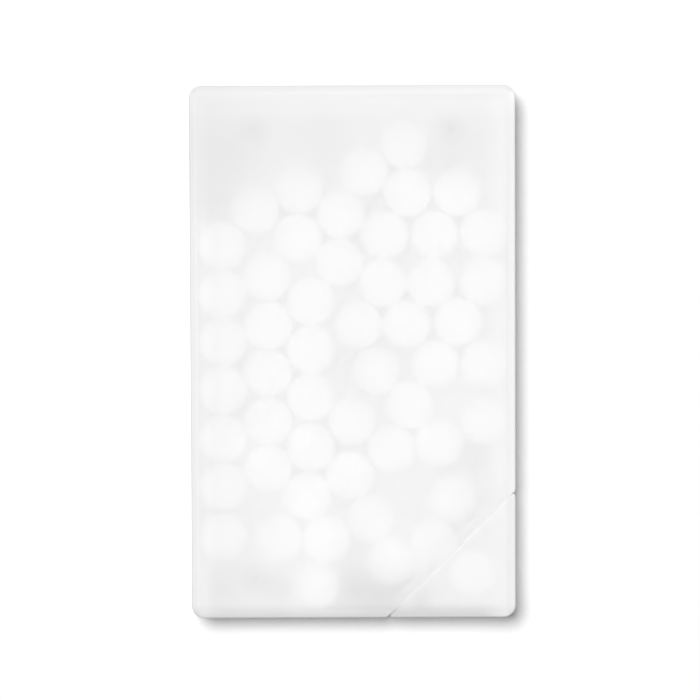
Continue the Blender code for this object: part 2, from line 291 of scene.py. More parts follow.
def upright(name, corners, low, high, side_round=0.0, end_round=0.0):
    """A block over its corners in plan, with its upright edges and the edges of its two ends
    rounded."""
    shape = bmesh.new()
    foot = shape.faces.new([shape.verts.new((*corner, low)) for corner in corners])
    raised = bmesh.ops.extrude_face_region(shape, geom=[foot])["geom"]
    verts = [item for item in raised if isinstance(item, bmesh.types.BMVert)]
    bmesh.ops.translate(shape, verts=verts, vec=(0, 0, high - low))
    for size, up in ((side_round, True), (end_round, False)):
        if size:
            picked = [
                edge
                for edge in shape.edges
                if goes_up(edge) is up and (up or edge.calc_face_angle(0) > FOLD)
            ]
            bmesh.ops.bevel(
                shape,
                geom=picked,
                offset=size,
                offset_type="OFFSET",
                segments=BLOCK_STEPS,
                profile=0.5,
                affect="EDGES",
                material=-1,
            )
    return piece_from(shape, name)


def seam_block(name, along, width, inner, outer, low, high, end_round=0.0):
    """A block square to the seam."""
    start, end = along - width / 2, along + width / 2
    corners = [
        seam_place(start, inner),
        seam_place(start, outer),
        seam_place(end, outer),
        seam_place(end, inner),
    ]
    return upright(name, corners, low, high, end_round=end_round)


def combine(piece, operation, other):
    """Joins a shape to a piece or cuts it away, and throws the shape away after."""
    step = piece.modifiers.new("shape", "BOOLEAN")
    step.operation = operation
    step.solver = "EXACT"
    step.object = other
    bpy.context.view_layer.update()
    done = piece.evaluated_get(bpy.context.evaluated_depsgraph_get())
    mesh = bpy.data.meshes.new_from_object(done)
    piece.modifiers.clear()
    old = piece.data
    piece.data = mesh
    bpy.data.meshes.remove(old)
    bpy.data.meshes.remove(other.data)
    mesh.shade_smooth()
    mesh.set_sharp_from_angle(angle=math.radians(SHARP_ANGLE))


MOUTH_WIDTH = 0.0093
LATCH_FROM_END = 0.0024
LATCH_ALONG = LATCH_FROM_END - SEAM_LENGTH / 2
LATCH_WIDTH = 0.0020
LATCH_THICKNESS = 0.0014
LATCH_REACH = 0.0007
LATCH_PLAY = 0.00015
HINGE_AXIS = Vector((0.02469, -0.02155))
HINGE_SPAN = 0.0019

# A cutter reaches this far past what it cuts.
PAST = 0.0006


def hinge_window():
    """What is cut out of a side wall for the film hinge."""
    near, far = CARD_WIDTH / 2 - SIDE_WALL, CARD_WIDTH / 2 + PAST
    low, high = HINGE_AXIS.y - HINGE_SPAN / 2, HINGE_AXIS.y + HINGE_SPAN / 2
    corners = [(near, low), (far, low), (far, high), (near, high)]
    return upright("hinge_window", corners, PLATE, CEILING)


def cut_openings(piece):
    """The mouth and the latch's seat through the diagonal wall, and the film hinge's window."""
    inside = -SEAM_GAP / 2 - DIAGONAL_WALL - PAST
    mouth = seam_block("mouth", 0, MOUTH_WIDTH, inside, PAST, PLATE, CEILING)
    seat = seam_block(
        "latch_seat",
        LATCH_ALONG,
        LATCH_WIDTH + 2 * LATCH_PLAY,
        SEAM_GAP / 2 - LATCH_REACH - 2 * LATCH_PLAY,
        PAST,
        PARTING - LATCH_THICKNESS / 2 - LATCH_PLAY,
        PARTING + LATCH_THICKNESS / 2 + LATCH_PLAY,
    )
    for cutter in (mouth, seat, hinge_window()):
        combine(piece, "DIFFERENCE", cutter)


SOCKET_FLARE = 0.00012
SOCKET_FLARE_HEIGHT = 0.0002
SOCKET_BREAK = 0.0001

shape = bmesh.new()
rim = PARTING - PARTING_GAP / 2
lip_out = SIDE_WALL - LIP_THICKNESS
lip_seam_out = DIAGONAL_WALL - LIP_THICKNESS
levels = base_levels(rim - RIM_BREAK)
levels += [
    (rim, RIM_BREAK, RIM_BREAK),
    (rim, lip_out, lip_seam_out),
    (LIP_TOP, lip_out, lip_seam_out),
    (LIP_TOP, SIDE_WALL, DIAGONAL_WALL),
    *wall_foot(),
]
floor_face = skin(shape, CASE_PLAN, levels)
socket = (
    (SOCKET_RADIUS + SOCKET_FLARE, PLATE),
    (SOCKET_RADIUS, PLATE + SOCKET_FLARE_HEIGHT),
    (SOCKET_RADIUS, SOCKET_TOP - SOCKET_BREAK),
    (SOCKET_RADIUS - SOCKET_BREAK, SOCKET_TOP),
    (SOCKET_BORE + SOCKET_BREAK, SOCKET_TOP),
    (SOCKET_BORE, SOCKET_TOP - SOCKET_BREAK),
    (SOCKET_BORE, PLATE),
)
feet = [stand_up(shape, place, socket) for place in PEG_PLACES]
plate_with_holes(shape, floor_face, feet)
case_back = piece_from(shape, "case_back")
cut_openings(case_back)


class Wire:
    """The end of a wire in a material. Sums on it add the Math nodes that work them out."""

    def __init__(self, tree, socket=None):
        self.tree = tree
        self.socket = socket

    def node(self, kind, output, settings, sockets):
        """Adds a node: its settings first, then the values or wires of its sockets."""
        made = self.tree.nodes.new(kind)
        for name, value in settings.items():
            setattr(made, name, value)
        for name, value in sockets.items():
            if isinstance(value, Wire):
                self.tree.links.new(value.socket, made.inputs[name])
            else:
                made.inputs[name].default_value = value
        return Wire(self.tree, made.outputs[output]) if made.outputs else None

    def sum(self, operation, first, second):
        """Adds a Math node."""
        settings = {"operation": operation}
        return self.node("ShaderNodeMath", 0, settings, {0: first, 1: second})

    def __add__(self, other):
        return self.sum("ADD", self, other)

    def __radd__(self, other):
        return self.sum("ADD", other, self)

    def __sub__(self, other):
        return self.sum("SUBTRACT", self, other)

    def __rsub__(self, other):
        return self.sum("SUBTRACT", other, self)

    def __mul__(self, other):
        return self.sum("MULTIPLY", self, other)

    def __rmul__(self, other):
        return self.sum("MULTIPLY", other, self)


def empty_material(name):
    """A new material with nothing in it, and a wire to start its nodes from."""
    made = bpy.data.materials.new(name)
    made.use_nodes = True
    made.node_tree.nodes.clear()
    return made, Wire(made.node_tree)


def speckle(wire, place, scale, detail=2.0):
    """Smooth noise between 0 and 1, about 1 / scale metres from one bright patch to the next."""
    sockets = {"Vector": place, "Scale": scale, "Detail": detail, "Roughness": 0.5}
    return wire.node("ShaderNodeTexNoise", "Fac", {"noise_dimensions": "3D"}, sockets)


def hill(wire, value, width):
    """1 where a value is 0, falling smoothly to 0 at one width to either side."""
    share = value * (1 / width)
    left_over = wire.sum("MAXIMUM", 1 - share * share, 0.0)
    return left_over * left_over


FLOW_SCALE = 90.0
FLOW_IN_MILK = 0.04
FLOW_IN_ROUGHNESS = 0.05
GRAIN_SCALE = 3600.0
GRAIN_STRENGTH = 0.16
GRAIN_DEPTH = 0.00002
PLASTIC_IOR = 1.49
CLEAR_COLOUR = (0.97, 0.97, 0.97, 1)
CLOUD_ROUGHNESS = 0.48
CLOUD_SHINE = 0.3
SOLID_DARKENING = 0.8
WHITE = (1, 1, 1, 1)


def frosted_plastic(name, milk, glow, let_through, rough, white, grey=None, tone=None, solid=None):
    """Frosted polypropylene: softly see-through, and milky from light that scatters inside it. The
    milkiness drifts a little where the plastic flowed, and the skin has the fine grain of a
    blasted mould. Part of each lamp's light goes straight through to what lies inside, and the
    rest reaches it as glow. Tone is painted light and shade: it says how far each place is painted
    from white to grey. Solid says where the plastic goes deeper than a plate, and also where
    painted light or a painted highlight is wanted, which makes it milkier still."""
    made, wire = empty_material(name)
    place = wire.node("ShaderNodeTexCoord", "Object", {}, {})
    across = wire.node("ShaderNodeSeparateXYZ", "X", {}, {0: place})
    along = wire.node("ShaderNodeSeparateXYZ", "Y", {}, {0: place})
    flow = speckle(wire, place, FLOW_SCALE)
    grain = speckle(wire, place, GRAIN_SCALE, 1.0)
    bump = {"Strength": GRAIN_STRENGTH, "Distance": GRAIN_DEPTH, "Height": grain}
    skin_normal = wire.node("ShaderNodeBump", "Normal", {}, bump)
    shade = (white, white, white, 1)
    # A tone paints light and shade: it mixes the white towards grey.
    if tone:
        colours = {0: tone(wire, across, along), 6: shade, 7: (grey, grey, grey, 1)}
        shade = wire.node("ShaderNodeMix", 2, {"data_type": "RGBA"}, colours)
    clear = wire.node(
        "ShaderNodeBsdfPrincipled",
        "BSDF",
        {"distribution": "MULTI_GGX"},
        {
            "Base Color": CLEAR_COLOUR,
            "Roughness": rough + FLOW_IN_ROUGHNESS * flow,
            "IOR": PLASTIC_IOR,
            "Transmission Weight": 1.0,
            "Normal": skin_normal,
        },
    )
    cloud_skin = wire.node(
        "ShaderNodeBsdfPrincipled",
        "BSDF",
        {},
        {
            "Base Color": shade,
            "Roughness": CLOUD_ROUGHNESS,
            "Specular IOR Level": CLOUD_SHINE,
            "IOR": PLASTIC_IOR,
            "Normal": skin_normal,
        },
    )
    cloud_glow = wire.node("ShaderNodeBsdfTranslucent", 0, {}, {"Color": shade})
    milkiness = milk + FLOW_IN_MILK * (flow - 0.5)
    if solid:
        depth = solid(wire, across, along)
        milkiness = milkiness + (1 - milkiness) * depth
        glow = glow * (1 - SOLID_DARKENING * depth)
    cloud = wire.node("ShaderNodeMixShader", 0, {}, {0: glow, 1: cloud_skin, 2: cloud_glow})
    lamp_ray = wire.node("ShaderNodeLightPath", "Is Shadow Ray", {}, {})
    bounced_ray = wire.node("ShaderNodeLightPath", "Is Diffuse Ray", {}, {})
    share = milkiness + (1 - milkiness) * bounced_ray
    body = wire.node("ShaderNodeMixShader", 0, {}, {0: share, 1: clear, 2: cloud})
    passing = wire.node("ShaderNodeBsdfTransparent", 0, {}, {"Color": WHITE})
    straight = (lamp_ray + bounced_ray) * let_through
    surface = wire.node("ShaderNodeMixShader", 0, {}, {0: straight, 1: body, 2: passing})
    wire.node("ShaderNodeOutputMaterial", 0, {}, {"Surface": surface})
    return made


def fade(wire, value, gone, full):
    """1 where a value has reached full, 0 where it is still at gone, and smooth between."""
    settings = {"interpolation_type": "SMOOTHSTEP"}
    return wire.node(
        "ShaderNodeMapRange", 0, settings, {"Value": value, "From Min": gone, "From Max": full}
    )


def distance_to(wire, across, along, x, y):
    """How far each place is from an upright line."""
    off_x, off_y = across - x, along - y
    squared = off_x * off_x + off_y * off_y
    return squared.sum("SQRT", squared, 0.0)


def past_seam_of(across, along):
    """How far each place is past the seam, on the flap's side of it."""
    return (across - along) * math.sqrt(0.5) - SEAM_DISTANCE


# Open places between the mints, where the tray gets painted shade: x, y and how far each one
# reaches.
BARE_PLACES = (
    (-0.0015, -0.0020, 0.0050),
    (0.0190, 0.0040, 0.0040),
    (0.0195, -0.0110, 0.0060),
    (0.0140, -0.0197, 0.0065),
    (0.0090, -0.0262, 0.0050),
    (-0.0145, -0.0265, 0.0035),
    (-0.0045, 0.0320, 0.0070),
    (0.0145, 0.0290, 0.0040),
)
BARE_PAINTED_SHADE = 0.45

# Two bands of painted shade on the bare tray, along its left side and across its foot: where the
# band's middle is, how far it reaches to both sides, where along its length it is gone and where it
# is full, and how grey it is.
LEFT_SHADE_BAND = (-0.0204, 0.0048, 0.0365, 0.0310, 0.5)
FOOT_SHADE_BAND = (-0.0380, 0.0050, -0.0070, 0.0010, 0.9)

# Painted shade on the bare tray above the mints, from where it is gone to where it is full, and on
# the flap's floor.
ABOVE_MINTS = (0.0120, 0.0220)
ABOVE_MINTS_PAINTED_SHADE = 0.26
FLAP_FLOOR_PAINTED_SHADE = 0.9
SEAM_FADE = 0.0001


def band_of(wire, sideways, lengthways, middle, reach, gone, full, grey):
    """How much painted shade a band puts on each place."""
    return grey * hill(wire, sideways - middle, reach) * fade(wire, lengthways, gone, full)


def tray_painted_shade(wire, across, along):
    """The tray is painted greyer, as painted shade, where it lies bare: above the mints, in a band
    along its left side, across its foot, and in the open places between the mints. So is the floor
    of the flap."""
    grey = band_of(wire, across, along, *LEFT_SHADE_BAND) + band_of(wire, along, across, *FOOT_SHADE_BAND)
    grey = grey + ABOVE_MINTS_PAINTED_SHADE * fade(wire, along, *ABOVE_MINTS)
    for x, y, reach in BARE_PLACES:
        grey = grey + BARE_PAINTED_SHADE * hill(wire, distance_to(wire, across, along, x, y), reach)
    return grey + FLAP_FLOOR_PAINTED_SHADE * fade(wire, past_seam_of(across, along), 0.0, SEAM_FADE)


SQUARE = 0.98
SEAM_REACH = 0.0025


def faces_seam(face):
    """Whether a face is one of the upright ones along the seam."""
    square = abs(Vector(face.normal[:2]).dot(TO_CORNER)) > SQUARE
    return square and abs(Vector(face.center[:2]).dot(TO_CORNER) - SEAM_DISTANCE) < SEAM_REACH


def from_peg(face):
    """How far a face is from the nearest peg's axis."""
    return min((Vector(face.center[:2]) - place).length for place in PEG_PLACES)


CLOSE = 0.0001
SOCKETS = 1

# The back shell's tone is painted shade, mixing its white towards grey.
back_plastic = frosted_plastic(
    "frosted_back",
    milk=0.97,
    glow=0.03,
    let_through=0.0,
    rough=0.4,
    white=0.985,
    grey=0.62,
    tone=tray_painted_shade,
)
socket_plastic = frosted_plastic(
    "frosted_sockets", milk=0.90, glow=0.30, let_through=0.80, rough=0.4, white=0.97
)
case_back.data.materials.append(back_plastic)
case_back.data.materials.append(socket_plastic)
for face in case_back.data.polygons:
    on_socket = from_peg(face) < SOCKET_RADIUS + CLOSE
    if face.center.z > PLATE + CLOSE and (on_socket or faces_seam(face)):
        face.material_index = SOCKETS
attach(case_back, "case")
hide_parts("back_shell")


# The mints are 52 small round sugar tablets, pressed from powder between two shallow cups, so
# both faces are slightly domed over a straight band. They lie loose in one layer: 50 in the
# tray, one in the mouth and one in the flap.
MINT_SIDES = 44
MINT_SWELL = 0.00010
MINT_LIFT = 0.00003
MINT_MERGE = 1e-6
MINT_SHARP = 60

# A mint's face from its middle out: the share of the radius, and how far the face falls there.
MINT_FACE = (
    (0.0, 0.0),
    (0.50, 0.00002),
    (0.75, 0.00005),
    (0.87, 0.00010),
    (0.935, 0.00017),
    (0.970, 0.00027),
    (0.991, 0.00041),
    (1.0, 0.00062),
)


def press_mint(name, node, rise):
    """One tablet where its CAD node lies, just clear of the tray, with its shoulders worn round."""
    low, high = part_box(node)
    radius = (high.x - low.x) / 2 + MINT_SWELL
    foot = PLATE + MINT_LIFT
    top = high.z + rise
    profile = [(share, foot + fall) for share, fall in MINT_FACE]
    profile += [(share, top - fall) for share, fall in reversed(MINT_FACE)]
    shape = bmesh.new()
    verts = [shape.verts.new((share * radius, 0, height)) for share, height in profile]
    edges = [shape.edges.new(pair) for pair in zip(verts, verts[1:])]
    bmesh.ops.spin(
        shape,
        geom=verts + edges,
        cent=(0, 0, 0),
        axis=(0, 0, 1),
        angle=math.tau,
        steps=MINT_SIDES,
        use_merge=True,
    )
    bmesh.ops.remove_doubles(shape, verts=shape.verts, dist=MINT_MERGE)
    middle = (low + high) / 2
    bmesh.ops.translate(shape, verts=shape.verts, vec=(middle.x, middle.y, 0))
    return piece_from(shape, name, MINT_SHARP)


BATCH_SCALE = 130.0
GRAINS_SCALE = 2400.0
FLECKS_SCALE = 1500.0
GRAINS_IN_TOOTH = 0.7
GRAINS_IN_ROUGHNESS = 0.18
TOOTH_STRENGTH = 0.22
TOOTH_DEPTH = 0.00003
SUGAR_DARKEST = (0.910, 0.910, 0.910, 1)
SUGAR_LIGHTEST = (0.930, 0.930, 0.930, 1)
SUGAR_ROUGHNESS = 0.62


def pressed_sugar(name):
    """Chalky white powder, pressed hard: a faint fleck of coarser grains and a dull, fine tooth."""
    made, wire = empty_material(name)
    place = wire.node("ShaderNodeTexCoord", "Object", {}, {})
    batch = speckle(wire, place, BATCH_SCALE, 1.0)
    grains = speckle(wire, place, GRAINS_SCALE, 3.0)
    flecks = wire.node(
        "ShaderNodeTexVoronoi", "Distance", {}, {"Vector": place, "Scale": FLECKS_SCALE}
    )
    colour = wire.node(
        "ShaderNodeMix",
        2,
        {"data_type": "RGBA"},
        {0: batch * 0.5 + grains * 0.5, 6: SUGAR_DARKEST, 7: SUGAR_LIGHTEST},
    )
    height = grains * GRAINS_IN_TOOTH + flecks * (1 - GRAINS_IN_TOOTH)
    bump = {"Strength": TOOTH_STRENGTH, "Distance": TOOTH_DEPTH, "Height": height}
    tooth = wire.node("ShaderNodeBump", "Normal", {}, bump)
    surface = wire.node(
        "ShaderNodeBsdfPrincipled",
        "BSDF",
        {},
        {
            "Base Color": colour,
            "Roughness": SUGAR_ROUGHNESS + GRAINS_IN_ROUGHNESS * grains,
            "Normal": tooth,
        },
    )
    wire.node("ShaderNodeOutputMaterial", 0, {}, {"Surface": surface})
    return made


# The mints don't all stand quite level: each one's top lies a little off the last one's.
TOP_SWING = 0.00005
SWING_TURN = 2.4

mint_chalk = pressed_sugar("pressed_mint")
loose_mints = sorted(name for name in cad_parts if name.startswith("mint_"))
mint_bodies = {node: "case" for node in loose_mints}
mint_bodies.update(mouth_mint="dispensed_mint", flap_mint="flap")
for number, (node, body) in enumerate(mint_bodies.items()):
    rise = TOP_SWING * math.sin(SWING_TURN * number)
    mint = press_mint(f"tablet_{number + 1:02d}", node, rise)
    mint.data.materials.append(mint_chalk)
    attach(mint, body)
    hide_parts(node)


# The front shell is the clear lid over the mints: a plate with its half of the walls, moulded in
# the same frosted plastic. Five pegs under it press into the sockets, and that joins the case.
PEG_RADIUS = 0.00065
PEG_FOOT = 0.0012
PEG_FLARE = 0.0001
PEG_BREAK = 0.0002
LIP_PLAY = 0.00015
LIP_HEADROOM = 0.00025

shape = bmesh.new()
seat = PARTING + PARTING_GAP / 2
lip_room = SIDE_WALL - LIP_THICKNESS - LIP_PLAY
lip_seam_room = DIAGONAL_WALL - LIP_THICKNESS - LIP_PLAY
levels = rounded_face(EDGE_ROUND)
levels += [
    (CARD_DEPTH - seat - RIM_BREAK, 0.0, 0.0),
    (CARD_DEPTH - seat, RIM_BREAK, RIM_BREAK),
    (CARD_DEPTH - seat, lip_room, lip_seam_room),
    (CARD_DEPTH - LIP_TOP - LIP_HEADROOM, lip_room, lip_seam_room),
    (CARD_DEPTH - LIP_TOP - LIP_HEADROOM, SIDE_WALL, DIAGONAL_WALL),
    *wall_foot(),
]
levels = [(CARD_DEPTH - height, *insets) for height, *insets in levels]
ceiling_face = skin(shape, CASE_PLAN, levels)
peg = (
    (PEG_RADIUS + PEG_FLARE, CEILING),
    (PEG_RADIUS, CEILING - PEG_FLARE),
    (PEG_RADIUS, PEG_FOOT + PEG_BREAK),
    (PEG_RADIUS - PEG_BREAK, PEG_FOOT),
)
feet = [stand_up(shape, place, peg) for place in PEG_PLACES]
plate_with_holes(shape, ceiling_face, feet)
case_front = piece_from(shape, "case_front")
cut_openings(case_front)


def size_of(value):
    """A value without its sign."""
    return value.sum("ABSOLUTE", value, 0.0)


def on_seam_of(across, along):
    """How far each place is along the seam, from its middle up towards the hinge."""
    return (across + along) * math.sqrt(0.5) - SEAM_MIDDLE.dot(ALONG_SEAM)


# Where each fade of the next functions is gone, and where it is full.
RIM_FADE = (0.0016, 0.0008)
HAZE_ACROSS = (0.0020, -0.0080)
HAZE_ALONG = (0.0250, 0.0180)


def rim_of(wire, across, along):
    """1 over the side walls, fading to 0 over the edge of the tray."""
    from_side = CARD_WIDTH / 2 - size_of(across)
    from_end = CARD_LENGTH / 2 - size_of(along)
    return fade(wire, wire.sum("MINIMUM", from_side, from_end), *RIM_FADE)


def haze_and_painted_light_of(wire, across, along):
    """1 over the mints of the left half, where the lid is hazier and has painted light, and 0 above
    and right of them.
    """
    return fade(wire, across, *HAZE_ACROSS) * fade(wire, along, *HAZE_ALONG)


# Soft round patches of the lid, painted shade where the grey is above zero and painted light
# where it is below: x, y, how far each one reaches, and how much greyer it is.
PAINTED_PATCHES = (
    (-0.0120, -0.0380, 0.0045, 0.12),
    (-0.0170, -0.0360, 0.0070, 0.12),
    (-0.0050, -0.0368, 0.0036, -0.16),
    (0.0035, -0.0380, 0.0060, 0.16),
    (0.0170, 0.0310, 0.0080, 0.10),
    (-0.0003, -0.0163, 0.0034, -0.14),
    (-0.0048, -0.0197, 0.0025, -0.10),
    (-0.0159, -0.0155, 0.0045, -0.12),
    (-0.0085, -0.0125, 0.0030, -0.10),
    (0.0026, 0.0136, 0.0025, -0.10),
    (0.0100, -0.0123, 0.0025, -0.10),
    (0.0070, -0.0290, 0.0060, -0.10),
    (-0.0112, -0.0358, 0.0042, 0.18),
    (-0.0215, -0.0365, 0.0050, 0.10),
    (0.0100, -0.0380, 0.0035, 0.14),
    (-0.0010, -0.0365, 0.0030, 0.08),
    (-0.0060, -0.0270, 0.0080, -0.10),
    (-0.0170, 0.0300, 0.0070, 0.08),
)

# Patches of painted light, made milkier where shade falls: x, y, how far each one reaches, and
# how milky it is.
PAINTED_LIGHT_MILK_PATCHES = (
    (0.0102, -0.0331, 0.0036, 0.60),
    (0.0174, -0.0271, 0.0022, 0.40),
    (0.0200, -0.0250, 0.0030, 0.30),
)

# Bands of painted shade along the lid's edges, painted light where the grey is below zero: the
# edge, how far from it the band is gone and where it is full, and how much greyer it is.
EDGE_PAINTED_BANDS = (
    ("left or top", 0.0013, 0.0, 0.24),
    ("left or top", 0.0003, 0.0001, 0.30),
    ("left or top", 0.0034, 0.0016, -0.13),
    ("top", 0.0013, 0.0009, 0.26),
    ("top", 0.0060, 0.0030, -0.10),
    ("left", 0.0016, 0.0010, 0.12),
    ("right", 0.0018, 0.0008, 0.16),
)

# Lines of painted shade along them: the edge, how far from it the line is, its reach to both sides,
# and its grey.
EDGE_PAINTED_LINES = (
    ("left", 0.00070, 0.00050, 0.08),
    ("top", 0.0080, 0.0080, 0.05),
)

# The lid's painted light and shade at its middle, and how much it changes over the card's width
# and length; the grey over the side walls is painted shade too.
MIDDLE_PAINTED_SHADE = 0.15
PAINTED_SHADE_ACROSS = -0.24
PAINTED_SHADE_ALONG = 0.10
RIM_PAINTED_SHADE = 0.08

# Painted shade at the lid's foot, over the flap and along the crack by the notch beside the seam's
# lower end, and painted light over the mints at the left. A pair says where a fade is gone and
# where it is full, and a grey how much greyer it makes the lid; below zero it is painted light.
FOOT_REACH = 0.0032
FOOT_PAINTED_SHADE = 0.85
FOOT_RIGHT = (0.0, 0.0120)
FOOT_RIGHT_PAINTED_SHADE = 0.1
FOOT_CORNER = (0.0190, 0.0235)
FOOT_CORNER_LOSS = 0.6
FLAP_START = (0.0002, 0.0005)
FLAP_PAINTED_SHADE = 0.10
FLAP_MINT = (0.0183, -0.0342)
FLAP_MINT_FADE = (0.0042, 0.0026)
CRACK_REACH = 0.0006
CRACK_ALONG = (-0.0090, -0.0120)
CRACK_PAINTED_SHADE = 0.25
LEFT_HALF_PAINTED_LIGHT = -0.09
LEFT_MINTS = 0.0022
LEFT_MINTS_REACH = 0.0020
LEFT_MINTS_PAINTED_LIGHT = -0.10

# How much painted shade the lid has over each peg, where light drains into it, in the order of
# their places, how far that reaches, and what share of it comes on top over the peg's core.
PEG_PAINTED_SHADES = (0.14, 0.19, 0.17, 0.14, 0.12)
PEG_SHADE_RADIUS = 0.0032
PEG_CORE_RADIUS = 0.0008
PEG_CORE_SHARE = 0.55


def lid_painted_light_and_shade(wire, across, along):
    """Painted light and shade on the lid. It is painted a little whiter from its upper left to its
    lower right. It has painted shade at its foot, along its other edges, over the flap, along the
    seam's crack, and where light drains away down each wall and peg. Over the mints of its left
    half, along parts of its edges and in some patches it has painted light, and other patches have
    painted shade."""
    # Painted light and shade: a gradient over the lid, and painted shade over the side walls.
    grey = MIDDLE_PAINTED_SHADE + across * (PAINTED_SHADE_ACROSS / CARD_WIDTH) + along * (PAINTED_SHADE_ALONG / CARD_LENGTH)
    grey = grey + RIM_PAINTED_SHADE * rim_of(wire, across, along)
    from_left = across + CARD_WIDTH / 2
    from_top = CARD_LENGTH / 2 - along
    distances = {
        "left": from_left,
        "right": CARD_WIDTH / 2 - across,
        "top": from_top,
        "left or top": wire.sum("MINIMUM", from_left, from_top),
    }
    # Painted shade along the edges, and painted light where a grey is below zero.
    for edge, gone, full, shade in EDGE_PAINTED_BANDS:
        grey = grey + shade * fade(wire, distances[edge], gone, full)
    for edge, middle, reach, shade in EDGE_PAINTED_LINES:
        grey = grey + shade * hill(wire, distances[edge] - middle, reach)

    # Painted shade at the foot, which faces away from the lamp.
    foot = fade(wire, along, FOOT_REACH - CARD_LENGTH / 2, -CARD_LENGTH / 2)
    foot = foot * foot * (FOOT_PAINTED_SHADE + FOOT_RIGHT_PAINTED_SHADE * fade(wire, across, *FOOT_RIGHT))
    grey = grey + foot * (1 - FOOT_CORNER_LOSS * fade(wire, across, *FOOT_CORNER))

    past_seam = past_seam_of(across, along)
    # Painted shade over the flap, away from its mint.
    flap_mint = fade(wire, distance_to(wire, across, along, *FLAP_MINT), *FLAP_MINT_FADE)
    grey = grey + FLAP_PAINTED_SHADE * fade(wire, past_seam, *FLAP_START) * (1 - flap_mint)
    # Painted shade along the seam's crack near its lower end.
    crack = hill(wire, past_seam, CRACK_REACH)
    crack = crack * fade(wire, on_seam_of(across, along), *CRACK_ALONG)
    grey = grey + CRACK_PAINTED_SHADE * crack

    # Painted light over the mints of the left half and their left column.
    at_left = LEFT_MINTS_PAINTED_LIGHT * hill(wire, from_left - LEFT_MINTS, LEFT_MINTS_REACH)
    grey = grey + (LEFT_HALF_PAINTED_LIGHT + at_left) * haze_and_painted_light_of(wire, across, along)

    # Patches of painted shade, and of painted light where a grey is below zero.
    for x, y, reach, shade in PAINTED_PATCHES:
        grey = grey + shade * hill(wire, distance_to(wire, across, along, x, y), reach)
    # Painted shade over each peg, where light drains into it.
    for place, shade in zip(PEG_PLACES, PEG_PAINTED_SHADES):
        near = distance_to(wire, across, along, *place)
        core = PEG_CORE_SHARE * hill(wire, near, PEG_CORE_RADIUS)
        grey = grey + shade * (hill(wire, near, PEG_SHADE_RADIUS) + core)
    return grey


FLAP_END = 0.0035
FLAP_REACH = SEAM_LENGTH / 2 - FLAP_END

# A pair says where a fade is gone and where it is full, and a milk how milky it makes the plate.
RIM_MILK = 0.85
HAZE_MILK = 0.14
RIGHT_SIDE = (0.0195, 0.0230)
RIGHT_PAINTED_LIGHT_MILK = 0.35
WALL_ALONG = (-0.0125, -0.0085)
WALL_MILK = 0.32
TIPS_ALONG = (FLAP_REACH - 0.0006, FLAP_REACH + 0.0001)
TIPS_MILK = 0.3
SEAM_HIGHLIGHT = 0.00005
SEAM_HIGHLIGHT_REACH = 0.00040
SEAM_HIGHLIGHT_ALONG = (0.0015, 0.0034)


def lid_solid_and_painted_light(wire, across, along):
    """How much milkier the plate is where it is backed by solid plastic: over the side walls, over
    the diagonal wall and the flap's two tips. Along the seam's own edges the milk is a painted
    highlight, where they would catch the light, and beside its right wall and in a few patches it
    is painted light. It is a little milkier too in its hazier left half."""
    past_seam = past_seam_of(across, along)
    on_seam = on_seam_of(across, along)
    wall = fade(wire, size_of(past_seam + DIAGONAL_WALL / 2), DIAGONAL_WALL, DIAGONAL_WALL / 2)
    tips = fade(wire, size_of(on_seam), *TIPS_ALONG)
    # Painted highlight in milk along the seam's edges.
    line = hill(wire, past_seam - SEAM_HIGHLIGHT, SEAM_HIGHLIGHT_REACH)
    places = [
        RIM_MILK * rim_of(wire, across, along),
        HAZE_MILK * haze_and_painted_light_of(wire, across, along),
        # Painted light in milk beside the right wall.
        RIGHT_PAINTED_LIGHT_MILK * fade(wire, across, *RIGHT_SIDE),
        WALL_MILK * wall * fade(wire, on_seam, *WALL_ALONG),
        TIPS_MILK * tips * fade(wire, past_seam, -SEAM_FADE, SEAM_FADE),
        line * fade(wire, size_of(on_seam), *SEAM_HIGHLIGHT_ALONG),
    ]
    # Patches of painted light in milk.
    for x, y, reach, milky in PAINTED_LIGHT_MILK_PATCHES:
        places.append(milky * hill(wire, distance_to(wire, across, along, x, y), reach))
    deep = places[0]
    for place in places[1:]:
        deep = wire.sum("MAXIMUM", deep, place)
    return deep


# The lid's tone is painted light and shade, and its solid mask also paints light and a highlight in
# milk.
front_plastic = frosted_plastic(
    "frosted_front",
    milk=0.835,
    glow=0.24,
    let_through=0.24,
    rough=0.42,
    white=0.99,
    grey=0.70,
    tone=lid_painted_light_and_shade,
    solid=lid_solid_and_painted_light,
)
inside_plastic = frosted_plastic(
    "smooth_inside", milk=0.06, glow=0.50, let_through=0.90, rough=0.15, white=0.97
)
peg_plastic = frosted_plastic(
    "frosted_pegs", milk=0.95, glow=0.30, let_through=0.85, rough=0.4, white=0.97
)
wall_plastic = frosted_plastic(
    "frosted_walls", milk=0.92, glow=0.04, let_through=0.0, rough=0.4, white=0.985
)
lid_plastics = (front_plastic, inside_plastic, peg_plastic, wall_plastic)

# The places in a piece's list of the last three, and of the one that the flap has after them.
INSIDE = 1
PEG = 2
WALL = 3
FLAP_FLOOR = 4

PEG_SKIN = 0.00002
BELOW_PLATE = 0.00015
CLEAR_OF_PEG = 0.0002
STEEP = 0.4


def finish_lid(piece, plastics):
    """Frosted outside, smooth under the plate, denser in the walls, and letting most light
    through down the pegs and along the seam."""
    for plastic in plastics:
        piece.data.materials.append(plastic)
    for face in piece.data.polygons:
        distance = from_peg(face)
        if distance < PEG_RADIUS + PEG_SKIN and face.center.z < CEILING - BELOW_PLATE:
            face.material_index = PEG
        elif distance > PEG_RADIUS + CLEAR_OF_PEG and abs(face.normal.z) < STEEP:
            face.material_index = PEG if faces_seam(face) else WALL
        elif abs(face.center.z - CEILING) < FOOT_ROUND and face.normal.z < 0:
            face.material_index = INSIDE


finish_lid(case_front, lid_plastics)
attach(case_front, "case")
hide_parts("front_shell")


